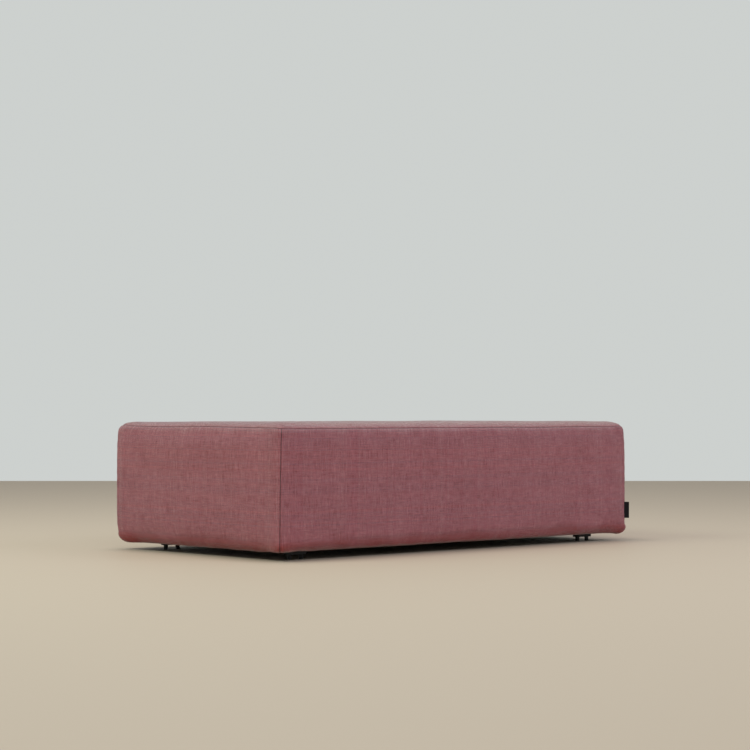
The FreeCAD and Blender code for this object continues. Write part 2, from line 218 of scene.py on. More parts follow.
white = rgb(1.0, 1.0, 1.0)
coverCloth = {
    "threadPitch": 0.85 * mm,
    "rose": rgb(0.372, 0.103, 0.119),
    "blush": rgb(0.424, 0.200, 0.203),
    "heather": rgb(0.197, 0.108, 0.152),
    "slubWidth": 2.6 * mm,
    "slubLength": 34 * mm,
    "fleckLength": 4.5,  # in threads
    "threadStep": 7.31,  # how far apart two threads next to each other lie in the noise
    "darkStreak": rgb(0.76, 0.65, 0.66),  # what the streaks multiply the colour by, from thin yarn to thick
    "paleStreak": rgb(1.24, 1.35, 1.34),
    "clouds": 0.09,  # how uneven the whole cloth is
    "sheen": 0.65,
    "seamShade": rgb(0.06, 0.0, 0.0),  # painted shade in the bottom of a seam
    "paintedFootShade": rgb(0.74, 0.29, 0.21),  # painted shade on the lowest edge, where the cloth turns under, warmed by painted floor bounce
    "paintedFootShadeTop": 66 * mm,
    "paintedRimSheen": rgb(1.02, 1.31, 1.22),  # painted sheen, paler and greyer, on the rim above the seam the most
    # painted light on the level top: less red and greyer, painted sheen with a little painted shade
    "paintedTopLight": rgb(0.85, 1.06, 0.92),
    "paintedSheenReach": 18 * mm,
    "rimReach": 16 * mm,
    "paintedLightUnevenness": 6 * mm,
}


def threadSet(across, along, seed):
    # One set of threads: each one's number, its round profile and the melange along it
    pitch = coverCloth["threadPitch"]
    count = maths("DIVIDE", across, pitch)
    number = maths("FLOOR", count)
    hump = maths("SINE", product(maths("FRACT", count), math.pi))
    own = after("ShaderNodeTexWhiteNoise", {"W": total(number, seed)}, noise_dimensions="1D")["Value"]
    flecks = maths("DIVIDE", along, coverCloth["fleckLength"] * pitch)
    place = vector(X=product(number, coverCloth["threadStep"]), Y=flecks, Z=seed)
    return number, hump, blended(0.45, noise(place, detail=3.0, roughness=0.7), own)


def slubs(across, along, seed, strength):
    # Thick and thin yarn
    place = vector(X=maths("DIVIDE", across, coverCloth["slubWidth"]),
                   Y=maths("DIVIDE", along, coverCloth["slubLength"]), Z=seed)
    return span(noise(place, roughness=0.55), 0.32, 0.68, -strength, strength)


def makeCoverCloth():
    material, tree = newMaterial("cover_fabric")
    cloth, uv = coverCloth, weavePlace(tree)
    across, along = axes(uv, "XY")
    warpNumber, warpHump, warpTone = threadSet(across, along, 3.7)
    weftNumber, weftHump, weftTone = threadSet(along, across, 41.3)
    warpOver = maths("FLOORED_MODULO", total(warpNumber, weftNumber), 2.0)
    warpColour = mixed(span(warpTone, 0.25, 0.75), cloth["rose"], cloth["blush"])
    weftColour = mixed(span(weftTone, 0.25, 0.75), cloth["heather"], cloth["rose"])
    colour = mixed(warpOver, weftColour, warpColour)

    # Uneven yarn shows as short streaks both ways
    streaks = total(slubs(across, along, 5.1, 0.34), slubs(along, across, 9.7, 0.24))
    clouds = span(noise(uv, 9.0), 0.3, 0.7, -cloth["clouds"], cloth["clouds"])
    streaks = total(total(streaks, clouds), 0.5, clamp=True)

    # Painted light on the cloth: painted sheen makes the top and its rim paler, painted shade darkens the
    # foot towards the floor with the warm tint of painted floor bounce, and painted shade darkens the
    # bottom of a seam
    [level] = axes(objectPlace(tree), "Z")
    # The edges of the painted bands wander with the clouds
    shift = cloth["paintedLightUnevenness"]
    level = total(level, span(clouds, -cloth["clouds"], cloth["clouds"], -shift, shift))
    # Painted shade towards the floor, warmed by painted floor bounce: none above the top of the painted
    # foot shade
    clearOfFootShade = span(level, blockBottom, cloth["paintedFootShadeTop"])
    # Painted sheen, from below the seam up to the rim
    sheenShare = span(level, seamHeight - cloth["paintedSheenReach"], seamHeight)
    rim = span(level, seamHeight, seamHeight + cloth["rimReach"])
    fade = mixed(rim, cloth["paintedRimSheen"], cloth["paintedTopLight"])
    # How deep a point lies in a seam's roll, which the painted seam shade follows
    seam = addNode(tree, "ShaderNodeAttribute", attribute_name="Seam").outputs["Fac"]
    for share, first, second in (
            (streaks, cloth["darkStreak"], cloth["paleStreak"]),
            (clearOfFootShade, cloth["paintedFootShade"], white),
            (sheenShare, white, fade),
            (span(seam, 0.04, 0.55), white, cloth["seamShade"])):
        colour = times(colour, mixed(share, first, second))

    # The top thread's round profile: the bump follows it, and painted shade darkens the colour where the
    # threads dip
    height = maths("MULTIPLY_ADD", warpOver, maths("SUBTRACT", warpHump, weftHump), weftHump)
    fuzz = noise(uv, 2600.0, roughness=0.7)
    return surfaced(material, {
        "Base Color": scaled(colour, span(height, 0.0, 0.8, 0.80, 1.06)),
        "Normal": bumped(maths("MULTIPLY_ADD", fuzz, 0.35, height), 0.25 * mm, 0.8),
        "Roughness": 0.92,
        "Specular IOR Level": 0.12,
        "Sheen Weight": cloth["sheen"],
        "Sheen Roughness": 0.32,
        "Sheen Tint": white,
    })


coverFabric = makeCoverCloth()
print("cover cloth made")


# The shape of the upholstered block

block = {
    "topRadius": 34 * mm,
    "bottomRadius": 25 * mm,
    "cornerRadius": 14 * mm,
    "topTaper": 3.4 * mm,  # how far the faces lean in towards the top and the foot
    "topTaperReach": 30 * mm,
    "footTaper": 5.4 * mm,
    "footTaperReach": 24 * mm,
    "topUntaper": 0.35,  # how much of the lean is gone at a corner
    "footUntaper": 0.85,
    "edgeDrop": 2.0 * mm,  # how far the edge of the top lies below its middle
    "edgeDropReach": 55 * mm,
    "cornerLift": 1.0,  # how much of the drop is gone at a corner
    "cornerFillReach": 48 * mm,  # near a corner the edges are squarer
    "topFill": 1.2 * mm,
    "footFill": 5.0 * mm,
    "footSag": 2.6 * mm,  # how far the padded foot hangs below the frame
    "sagReach": 9 * mm,
    "cornerSoftening": 0.6,  # how much rounder a corner gets as the face rolls in
    "topSettle": 70 * mm,  # over this the rounded rings become a plain grid
    "hemSettle": 24 * mm,
    "hemCornerLoss": 0.8,  # how much of its radius a corner loses under the block
    "hemReach": 46.5 * mm,  # how far the cloth is turned under, from the face
}
quarter = math.pi / 2
topRadius, bottomRadius = block["topRadius"], block["bottomRadius"]
arcEnd = topRadius * math.pi / 2
straightEnd = arcEnd + (blockTop - block["edgeDrop"] - topRadius) - (blockBottom + bottomRadius)
turnEnd = straightEnd + bottomRadius * math.pi / 2
hemEnd = turnEnd + block["hemReach"] - bottomRadius - block["footTaper"]
seamDown = topRadius * math.acos(1 - (blockTop - block["edgeDrop"] - seamHeight) / topRadius)
halfArc = block["cornerRadius"] * math.pi / 4


def smooth(value):
    value = np.clip(value, 0, 1)
    return value * value * (3 - 2 * value)


def fading(distance, reach):
    return np.exp(-distance / reach)


def nearby(distance, reach):
    return np.exp(-(distance / reach) ** 2)


def profile(down, fromCorner, slack=0.0, square=1.0, softFoot=0.0, sag=0.0):
    # The inset and the height of the surface, a distance down from the edge of the level top
    fill = nearby(fromCorner, block["cornerFillReach"])
    topTaper = block["topTaper"] * (1 - block["topUntaper"] * fill)
    footTaper = block["footTaper"] * (1 - block["footUntaper"] * square * fill) + softFoot * (1 - fill)
    angle = np.clip(down / topRadius, 0, quarter)
    turn = np.clip((down - straightEnd) / bottomRadius, 0, quarter)
    inset = (topRadius * (1 - np.sin(angle)) - np.minimum(down, 0)
             + bottomRadius * (1 - np.cos(turn)) + np.maximum(down - turnEnd, 0)
             + topTaper * fading(np.maximum(down - arcEnd, 0), block["topTaperReach"])
             + footTaper * fading(np.maximum(straightEnd - down, 0), block["footTaperReach"]))
    height = (blockTop - topRadius * (1 - np.cos(angle))
              - np.clip(down - arcEnd, 0, straightEnd - arcEnd) - bottomRadius * np.sin(turn)
              - (block["edgeDrop"] * (1 - block["cornerLift"] * fill)
                 * fading(-np.minimum(down, 0), block["edgeDropReach"])))
    topFill = block["topFill"] * fill * np.sin(2 * angle)
    footFill = block["footFill"] * square * fill * np.sin(2 * turn)
    droop = ((block["footSag"] + slack * fill + sag * (1 - fill)) * smooth(turn / quarter)
             * (1 - smooth((down - turnEnd) / block["sagReach"])))
    inset = inset - topFill * np.sin(angle) - footFill * np.cos(turn)
    height = height + topFill * np.cos(angle) - footFill * np.sin(turn) - droop
    return inset, height


def cornerRadius(down, inset):
    inset = np.minimum(inset, np.where(down < arcEnd, topRadius, bottomRadius))
    radius = block["cornerRadius"] + block["cornerSoftening"] * inset
    radius = radius * (1 - smooth(-down / block["topSettle"]))
    return radius * (1 - block["hemCornerLoss"] * smooth((down - turnEnd) / block["hemSettle"]))


def onRing(fromCorner, flatHalf, arcFlat, halfSpan, reach, inset, radius, lean=0.0):
    # A place on the rounded ring at one height: along the face, and out from the middle
    angle = np.maximum(1 - fromCorner / arcFlat, 0) * (math.pi / 4 + lean)
    straight = halfSpan - inset - radius
    onStraight = straight * (flatHalf - fromCorner) / (flatHalf - arcFlat)
    along = np.where(fromCorner > arcFlat, onStraight, straight + radius * np.sin(angle))
    return along, reach - inset - radius + radius * np.cos(angle)


def sideHalf(halfSpan):
    return halfSpan - block["cornerRadius"] + halfArc


# The block's four corners: how far the cloth hangs under each, how square its foot is, how much is
# gathered there, how far the top seam drifts down the face, and how much of its painted shade fades
corners = {
    "near": {"slack": 0.2 * mm, "square": 1.0, "gathers": 0.8 * mm, "drift": 5.2 * mm, "fade": 0.0},
    "right": {"slack": 2.4 * mm, "square": 1.15, "gathers": 1.8 * mm, "drift": 2.8 * mm, "fade": 0.7},
    "far": {"slack": 2.0 * mm, "square": 0.8, "gathers": 1.2 * mm, "drift": 2.0 * mm, "fade": 0.5},
    "left": {"slack": 4.8 * mm, "square": 0.45, "gathers": 0.9 * mm, "drift": -3.4 * mm, "fade": 0.6},
}
cornerDriftReach = 70 * mm
seamDriftReach = 45 * mm
# The four side panels, anticlockwise: how each end seam leans at the top and the foot, the top seam's
# drift between its corners, how much softer and lower its foot is there, and its corners
sides = {
    "front_panel": {"leans": ((-11, 9), (3, -4)), "drift": 3.0 * mm, "softFoot": -1.8 * mm,
                    "sag": 1.4 * mm, "corners": ("near", "right")},
    "right_panel": {"leans": ((-3, 4), (2, 5)), "drift": 2.4 * mm, "softFoot": 1.5 * mm,
                    "sag": 1.0 * mm, "corners": ("right", "far")},
    "back_panel": {"leans": ((-2, -5), (-4, 2)), "drift": 1.2 * mm, "softFoot": 1.0 * mm,
                   "sag": 1.0 * mm, "corners": ("far", "left")},
    "left_panel": {"leans": ((4, -2), (11, -9)), "drift": -2.6 * mm, "softFoot": 7.4 * mm,
                   "sag": 3.8 * mm, "corners": ("left", "near")},
}
for number, side in enumerate(sides.values()):
    half, reach = (halfWidth, halfLength) if number % 2 else (halfLength, halfWidth)
    side.update({"turn": 90 * number, "half": half, "reach": reach})


def atCorners(side, flat, what):
    start, finish = [corners[name][what] for name in side["corners"]]
    return np.where(flat < 0, start, finish)


def drifted(side, share, down):
    # The top seam and the cloth about it lie a little further down the face than the plain edge
    corner = fading((1 - np.abs(share)) * side["half"], cornerDriftReach)
    drift = side["drift"] + (atCorners(side, share, "drift") - side["drift"]) * corner
    return down + drift * nearby(down - seamDown, seamDriftReach)


def sidePoint(side, flat, down):
    half, reach, flatHalf = side["half"], side["reach"], sideHalf(side["half"])
    fromCorner = flatHalf - np.abs(flat)
    down = drifted(side, flat / flatHalf, down)
    slack, square = atCorners(side, flat, "slack"), atCorners(side, flat, "square")
    inset, height = profile(down, fromCorner, slack, square, side["softFoot"], side["sag"])
    radius = cornerRadius(down, inset)
    fallen = np.clip((down - seamDown) / (turnEnd - seamDown), 0, 1)
    low, high = [np.radians(top + (foot - top) * fallen) for top, foot in side["leans"]]
    lean = np.where(flat < 0, low, high)
    along, out = onRing(fromCorner, flatHalf, halfArc, half, reach, inset, radius, lean)
    along = np.where(flat < 0, -along, along)
    turn = math.radians(side["turn"])
    x = along * math.cos(turn) + out * math.sin(turn)
    y = along * math.sin(turn) - out * math.cos(turn)
    return np.stack(np.broadcast_arrays(x, y, height), -1)


def sideFrom(side, start):
    # The same face as a function of the place on it alone, its downs counted from a start
    def point(flat, down):
        return sidePoint(side, flat, start + down)

    return point


def withoutLeans(side):
    return dict(side, leans=((0, 0), (0, 0)))


topHalfLength = halfLength - block["topTaper"] - topRadius + seamDown
topHalfWidth = halfWidth - block["topTaper"] - topRadius + seamDown


def topPoint(flatX, flatY):
    fromEnd, fromSide = topHalfLength - np.abs(flatX), topHalfWidth - np.abs(flatY)
    inward = np.minimum(fromEnd, fromSide)
    nearEnd = fromEnd < fromSide
    down = seamDown - inward
    for name, share, mine in (
            ("front_panel", flatX / topHalfLength, ~nearEnd & (flatY < 0)),
            ("back_panel", -flatX / topHalfLength, ~nearEnd & (flatY >= 0)),
            ("right_panel", flatY / topHalfWidth, nearEnd & (flatX >= 0)),
            ("left_panel", -flatY / topHalfWidth, nearEnd & (flatX < 0))):
        down = np.where(mine, drifted(sides[name], share, seamDown - inward), down)
    inset, height = profile(down, np.maximum(fromEnd, fromSide))
    radius = np.maximum(cornerRadius(down, inset), 0.01 * mm)
    alongY, outX = onRing(fromSide - inward, topHalfWidth - inward, radius,
                          halfWidth, halfLength, inset, radius)
    alongX, outY = onRing(fromEnd - inward, topHalfLength - inward, radius,
                          halfLength, halfWidth, inset, radius)
    x = np.where(nearEnd, outX, alongX) * np.where(flatX < 0, -1, 1)
    y = np.where(nearEnd, alongY, outY) * np.where(flatY < 0, -1, 1)
    return np.stack(np.broadcast_arrays(x, y, height), -1)


def surfaceNormal(point, u, v, order):
    # Outwards: order is 1 on the top, and -1 on a side, whose grid runs the other way round
    step = 0.2 * mm
    across = point(u + step, v) - point(u - step, v)
    along = point(u, v + step) - point(u, v - step)
    normal = order * np.cross(across, along)
    length = np.linalg.norm(normal, axis=-1, keepdims=True)
    return normal / np.maximum(length, 1e-12)


# The cover's own form: crowned by a simulation, pulled in at the seams

cover = {
    "thickness": 1.2 * mm,
    "seamRoll": 2.5 * mm,  # the radius at which each panel turns in at a seam
    "seamAllowance": 4.4 * mm,
    "shadeReach": 60 * mm,
    "topSeamShade": 0.5,  # the top seam shows less painted shade than the corner seams, and least at its ends
    "topPull": 0.8 * mm,  # how far a seam draws the cloth in
    "endPull": 0.35 * mm,
    "pullReach": 4.5 * mm,
    "pucker": 0.32 * mm,
    "puckerReach": 20 * mm,
    "gatherPitch": 15 * mm,
    "gatherReach": 28 * mm,
    "gatherStart": 0.6,
    "hemWave": 0.35 * mm,
    "hemOnset": 4 * mm,  # past the straight face
    "hemBlend": 22 * mm,
    "unevenness": 0.45 * mm,
    "sideCrown": 2.0 * mm,
    "topCrown": 0.9 * mm,
    "plainCrownReach": 30 * mm,
    "blankPitch": 16 * mm,
    "gridPitch": 5.5 * mm,
    "topGridPitch": 5.5 * mm * 1.15,
    "stapleLine": 4 * mm,  # past the turn under the frame, where the blank is held from
    "topWeave": 5.0,  # in metres, so that the top's patch of the weave lies apart from the sides'
    "joinWithin": 0.004 * mm,
    "fill": 0.95,
}


def waveSet(seed, count, shortest, longest, ways):
    # Sines of mixed lengths and directions, each with its own start
    rng = np.random.default_rng(seed)
    lengths = rng.uniform(shortest, longest, (count, 3))
    signs = rng.choice([-1, 1], (count, 3))
    starts = rng.uniform(0, 2 * math.pi, count)
    return 2 * math.pi / lengths * signs * np.array(ways), starts


def waves(points, waveSet):
    directions, starts = waveSet
    total = np.zeros(points.shape[:-1])
    for direction, start in zip(directions, starts):
        total += np.sin(points @ direction + start)
    return total / math.sqrt(len(starts))


levelPuckers = waveSet(3, 5, 17 * mm, 34 * mm, (1, 1, 0))
uprightPuckers = waveSet(4, 5, 20 * mm, 42 * mm, (0, 0, 1))
hemWaves = waveSet(5, 5, 45 * mm, 130 * mm, (1, 1, 0))
broadWaves = [waveSet(seed, 6, 260 * mm, 620 * mm, (1, 1, 1)) for seed in (6, 7, 8)]


def unevenness(points):
    return np.stack([waves(points, one) for one in broadWaves], -1) * cover["unevenness"]


def cubicWeights(known, wanted):
    # One row for each wanted place, with the weights of the known, evenly spaced values
    place = (np.clip(wanted, known[0], known[-1]) - known[0]) / (known[1] - known[0])
    first = np.clip(np.floor(place).astype(int), 0, len(known) - 2)
    part = place - first
    weights = np.zeros((len(wanted), len(known)))
    terms = (
        -0.5 * part + part ** 2 - 0.5 * part ** 3,
        1 - 2.5 * part ** 2 + 1.5 * part ** 3,
        0.5 * part + 2 * part ** 2 - 1.5 * part ** 3,
        -0.5 * part ** 2 + 0.5 * part ** 3,
    )
    rows = np.arange(len(wanted))
    for shift, term in zip((-1, 0, 1, 2), terms):
        np.add.at(weights, (rows, np.clip(first + shift, 0, len(known) - 1)), term)
    return weights


def gridOf(*rows):
    return np.meshgrid(*rows, indexing="ij")


def gridFaces(rows, columns, order=1):
    index = np.arange(rows * columns).reshape(rows, columns)
    around = (index[:-1, :-1], index[1:, :-1], index[1:, 1:], index[:-1, 1:])
    return np.stack(around, -1).reshape(-1, 4)[:, ::order]


def meshFrom(name, points, faces, uvs=None, seamDepth=None):
    mesh = bpy.data.meshes.new(name)
    mesh.from_pydata(points.reshape(-1, 3).tolist(), [], faces.tolist())
    if uvs is not None:
        layer = mesh.uv_layers.new(name="Weave")
        loops = np.empty(len(mesh.loops), np.int32)
        mesh.loops.foreach_get("vertex_index", loops)
        layer.uv.foreach_set("vector", uvs.reshape(-1, 2)[loops].astype(np.float32).ravel())
    if seamDepth is not None:
        # How deep each point lies in a seam's roll, for the painted seam shade
        share = np.clip(seamDepth / cover["seamRoll"], 0, 1).astype(np.float32)
        mesh.attributes.new("Seam", "FLOAT", "POINT").data.foreach_set("value", share.ravel())
    mesh.update()
    return addObject(name, mesh)


simulation = {
    "frames": 20,
    "steps": 6,
    "mass": 0.3,
    "pressure": 4.0,
    "tension": 40.0,
    "shear": 10.0,
    "bending": 2.0,
}


def blownUp(name, points, held, order):
    # The panel's blank under pressure from inside, with its seams held: how far each point goes
    item = meshFrom(name, points, gridFaces(*points.shape[:2], order))
    group = item.vertex_groups.new(name="held")
    group.add([int(index) for index in np.flatnonzero(held)], 1.0, "REPLACE")
    settings = item.modifiers.new("cloth", "CLOTH").settings
    setAll(settings, quality=simulation["steps"], mass=simulation["mass"],
           tension_stiffness=simulation["tension"], compression_stiffness=simulation["tension"],
           shear_stiffness=simulation["shear"], bending_stiffness=simulation["bending"],
           use_pressure=True, uniform_pressure_force=simulation["pressure"], vertex_group_mass="held")
    settings.effector_weights.gravity = 0.0
    scene.frame_start, scene.frame_end = 1, simulation["frames"]
    for number in range(1, simulation["frames"] + 1):
        scene.frame_set(number)
    shaped = item.evaluated_get(bpy.context.evaluated_depsgraph_get()).to_mesh()
    moved = np.empty(len(shaped.vertices) * 3, np.float32)
    shaped.vertices.foreach_get("co", moved)
    bpy.data.objects.remove(item)
    scene.frame_set(1)
    return moved.reshape(points.shape).astype(float) - points


def crowned(name, point, knownU, knownV, held, order, crown):
    u, v = gridOf(knownU, knownV)
    points = point(u, v)
    moved = blownUp(name, points, held.ravel(), order)
    swelling = (moved * surfaceNormal(point, u, v, order)).sum(-1)
    print(name, "blank swells by", round(float(swelling.max()) / mm, 1), "mm before the cap")
    return crown * np.tanh(swelling / crown)


def seamRows():
    # Distances across a seam: in the allowance (below 0), round the roll, and out over the panel
    roll = cover["seamRoll"] * math.pi / 2
    allowance = -cover["seamAllowance"] * np.array([1.0, 0.5, 0.2])
    around = roll * np.array([0, 0.25, 0.5, 0.75, 1.0])
    beyond = roll + np.array([0.6, 1.4, 2.5, 4.0, 6.2, 9.2, 13.2]) * mm
    return np.concatenate([allowance, around, beyond])


def rolled(across):
    # How far from the seam a row lies on the surface, and how far below it
    radius = cover["seamRoll"]
    angle = np.clip(across / radius, 0, quarter)
    flat = radius * (1 - np.cos(angle)) + np.maximum(across - radius * math.pi / 2, 0)
    return flat, radius * (1 - np.sin(angle)) - np.minimum(across, 0)


def evenly(start, finish, pitch):
    # The places between two rows, which are left out
    count = max(2, round((finish - start) / pitch))
    return np.linspace(start, finish, count + 1)[1:-1]


def seamToSeam(half, pitch):
    # Rows from one seam to the other, close together at both: the way to the nearer one, and the place
    seam = seamRows()
    middle = evenly(seam[-1], 2 * half - seam[-1], pitch)
    across = np.concatenate([seam, middle, 2 * half - seam[::-1]])
    flat = np.where(across < half, rolled(across)[0] - half, half - rolled(2 * half - across)[0])
    return np.minimum(across, 2 * half - across), flat


def seamToHem(length, pitch):
    seam = seamRows()
    across = np.concatenate([seam, evenly(seam[-1], length, pitch), [length]])
    return across, rolled(across)[0]


def blankRows(start, finish):
    return np.linspace(start, finish, max(8, round((finish - start) / cover["blankPitch"])))


def modified(item, kind, **settings):
    setAll(item.modifiers.new(kind.lower(), kind), **settings)


def flattened(item):
    # The evaluated mesh becomes the piece's own, and its modifiers go
    graph = bpy.context.evaluated_depsgraph_get()
    mesh = bpy.data.meshes.new_from_object(item.evaluated_get(graph))
    item.modifiers.clear()
    item.data = mesh


def tidyMesh(item):
    work = bmesh.new()
    work.from_mesh(item.data)
    bmesh.ops.remove_doubles(work, verts=work.verts, dist=cover["joinWithin"])
    bmesh.ops.dissolve_degenerate(work, edges=work.edges, dist=cover["joinWithin"] / 2)
    work.to_mesh(item.data)
    work.free()


def thickened(item, thickness):
    modified(item, "SOLIDIFY", thickness=thickness, offset=-1, use_quality_normals=True)
    flattened(item)


def finishPiece(item, node, material):
    # Its finish, and the frame's solid that it stands for
    item.data.materials.append(material)
    for polygon in item.data.polygons:
        polygon.use_smooth = True
    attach(item, "root")
    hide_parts(node)


def sewPanel(name, node, point, rowsU, rowsV, knownU, knownV, held, order, crown, shaped):
    # One panel of the cover: its grid, crowned and pulled in at the seams, then what is its own
    swelling = crowned(node, point, knownU, knownV, held, order, crown)
    (nearU, flatU), (nearV, flatV) = rowsU, rowsV
    u, v = gridOf(flatU, flatV)
    points = point(u, v)
    outward = cubicWeights(knownU, flatU) @ swelling @ cubicWeights(knownV, flatV).T
    nearU, nearV = gridOf(nearU, nearV)
    depth = rolled(np.minimum(nearU, nearV))[1]
    extra, uvs, shade = shaped(points, u, v, rolled(nearU)[0], rolled(nearV)[0], depth, nearV < nearU)
    lift = (outward + extra - depth)[..., None]
    points = points + surfaceNormal(point, u, v, order) * lift + unevenness(points)
    piece = meshFrom(name, points, gridFaces(*u.shape, order), uvs, shade)
    tidyMesh(piece)
    thickened(piece, cover["thickness"])
    finishPiece(piece, node, coverFabric)


def makeSidePanel(name):
    side = sides[name]
    flatHalf = sideHalf(side["half"])
    length = hemEnd - seamDown
    # The blank is held at its seams and where it is stapled under the frame
    knownU, knownV = blankRows(-flatHalf, flatHalf), blankRows(0, length)
    held = np.zeros((len(knownU), len(knownV)), bool)
    held[[0, -1], :] = True
    held[:, 0] = True
    held[:, knownV > turnEnd - seamDown + cover["stapleLine"]] = True

    def shaped(points, u, v, fromEnd, fromTop, depth, atTop):
        pull = (cover["endPull"] * fading(fromEnd, cover["pullReach"])
                + cover["topPull"] * fading(fromTop, cover["pullReach"]))
        topShare = fading(fromTop, cover["puckerReach"])
        endShare = fading(fromEnd, cover["puckerReach"]) * (1 - topShare)
        puckers = topShare * waves(points, levelPuckers) + endShare * waves(points, uprightPuckers)
        # The cloth is drawn under the frame, so its lower edge is gathered at the corners
        turned = smooth((v + seamDown - straightEnd - cover["hemOnset"]) / cover["hemBlend"])
        folds = np.sin(fromEnd * 2 * math.pi / cover["gatherPitch"] + cover["gatherStart"])
        gathers = atCorners(side, u, "gathers") * fading(fromEnd, cover["gatherReach"]) * folds
        hem = turned * (gathers + cover["hemWave"] * waves(points, hemWaves))
        uvs = np.stack([u + side["turn"], seamDown - v], -1)
        # The top seam's painted shade, fading out towards some corners
        fade = atCorners(side, u, "fade") * fading(fromEnd, cover["shadeReach"])
        shade = depth * np.where(atTop, cover["topSeamShade"] * (1 - fade), 1.0)
        return cover["pucker"] * puckers - pull + hem, uvs, shade

    sewPanel(name.replace("_panel", "Cover"), name, sideFrom(side, seamDown),
             seamToSeam(flatHalf, cover["gridPitch"]), seamToHem(length, cover["gridPitch"]),
             knownU, knownV, held, -1, cover["sideCrown"], shaped)


def makeTopPanel():
    knownU, knownV = blankRows(-topHalfLength, topHalfLength), blankRows(-topHalfWidth, topHalfWidth)
    held = np.zeros((len(knownU), len(knownV)), bool)
    held[[0, -1], :] = True
    held[:, [0, -1]] = True

    def shaped(points, u, v, fromEnd, fromSide, depth, atTop):
        pull, reach = cover["pullReach"], cover["puckerReach"]
        pull = cover["topPull"] * (fading(fromEnd, pull) + fading(fromSide, pull))
        share = 1 - (1 - fading(fromEnd, reach)) * (1 - fading(fromSide, reach))
        puckers = share * waves(points, levelPuckers)
        uvs = np.stack([u, v + cover["topWeave"]], -1)
        return cover["pucker"] * puckers - pull, uvs, depth * cover["topSeamShade"]

    rowsU, rowsV = [seamToSeam(half, cover["topGridPitch"]) for half in (topHalfLength, topHalfWidth)]
    sewPanel("topCover", "top_panel", topPoint, rowsU, rowsV, knownU, knownV, held, 1,
             cover["topCrown"], shaped)


for sideName in sides:
    makeSidePanel(sideName)
makeTopPanel()
print("cover made")


# The fibre wrap: soft wadding that follows the cover from inside

wrap = {
    "inset": 3.0 * mm,
    "seamInset": 5.5 * mm,  # how much deeper it lies along a seam, where the allowances press it down
    "seamReach": 10 * mm,
    "thickness": 4.0 * mm,
    "pitch": 20 * mm,
    "loft": 0.5 * mm,
    "fill": 0.4,
    "colour": rgb(0.82, 0.82, 0.80),
    "tuft": 9 * mm,
}
loftWaves = waveSet(11, 6, 50 * mm, 120 * mm, (1, 1, 1))


def makeWadding():
    # White fibres, combed into soft tufts
    material, tree = newMaterial("wadding")
    place = objectPlace(tree)
    tufts = noise(place, 1 / wrap["tuft"], detail=4.0, roughness=0.65)
    fibres = noise(stretched(place, (1500.0, 300.0, 900.0)))
    return surfaced(material, {
        "Base Color": shades(tufts, wrap["colour"], 0.86, 1.06),
        "Normal": bumped(maths("MULTIPLY_ADD", fibres, 0.3, tufts), 2 * mm, 0.7),
        "Roughness": 0.95,
        "Sheen Weight": 0.4,
    })


def wrapRows(start, finish, seamAtFinish=True):
    near = np.array([0.0, 4.0, 9.0, 15.0]) * mm
    last = finish - near[::-1] if seamAtFinish else np.array([finish])
    return np.concatenate([start + near, evenly(start + near[-1], last[0], wrap["pitch"]), last])


def makeFibreWrap():
    grids = []
    for side in sides.values():
        flatHalf = sideHalf(side["half"])
        grids.append((sideFrom(withoutLeans(side), seamDown), wrapRows(-flatHalf, flatHalf),
                      wrapRows(0, turnEnd - seamDown, False), -1))
    rowsU, rowsV = [wrapRows(-half, half) for half in (topHalfLength, topHalfWidth)]
    grids.append((topPoint, rowsU, rowsV, 1))
    points, faces, count = [], [], 0
    for point, knownU, knownV, order in grids:
        u, v = gridOf(knownU, knownV)
        fromSeam = np.minimum.reduce([u - knownU[0], knownU[-1] - u, v - knownV[0]])
        if order == 1:
            fromSeam = np.minimum(fromSeam, knownV[-1] - v)
        spots = point(u, v)
        inset = wrap["inset"] + wrap["seamInset"] * nearby(fromSeam, wrap["seamReach"])
        lift = (wrap["loft"] * waves(spots, loftWaves) - inset)[..., None]
        spots = spots + surfaceNormal(point, u, v, order) * lift + unevenness(spots)
        points.append(spots.reshape(-1, 3))
        faces.append(gridFaces(*u.shape, order) + count)
        count += u.size
    piece = meshFrom("fibreWrap", np.concatenate(points), np.concatenate(faces))
    thickened(piece, wrap["thickness"])
    finishPiece(piece, "fibre_wrap", makeWadding())


makeFibreWrap()
print("fibre wrap made")


# The tag: a bare black ribbon, folded once and sewn into the front right corner seam

tag = {
    "reach": 15.5 * mm,
    "corner": -45,  # degrees, the way out of the corner
    "lean": 32,  # degrees from there towards the front face
    "ribbon": 0.45 * mm,
    "foldRadius": 0.55 * mm,
    "pressed": 0.45,  # how close together the plies are where they enter the seam
    "bend": 1.6 * mm,
    "wave": 0.25 * mm,
    "softEdge": 0.12 * mm,
    "rootDepth": 5 * mm,
    "rows": 22,
    "steps": 9,  # along each ply
    "colour": rgb(0.006, 0.006, 0.007),
    "rib": 0.55 * mm,
}


def makeTagRibbon():
    # Fine ribs across the ribbon, and finer threads along it
    material, tree = newMaterial("tag_ribbon")
    uv = weavePlace(tree)
    across, along = axes(uv, "XY")
    ribs = maths("SINE", product(across, 2 * math.pi / tag["rib"]))
    threads = maths("SINE", product(along, 4 * math.pi / tag["rib"]))
    weave = maths("MULTIPLY_ADD", threads, 0.4, ribs)
    lint = noise(uv, 900.0, detail=3.0, roughness=0.7)
    # Partly painted shade: the colour is darker in the grooves of the ribs and threads; the lint gives a
    # real uneven tone
    return surfaced(material, {
        "Base Color": shades(maths("MULTIPLY_ADD", weave, 0.25, lint), tag["colour"], 0.6, 1.6),
        "Normal": bumped(weave, 0.08 * mm, 0.8),
        "Roughness": 0.7,
        "Specular IOR Level": 0.2,
    })


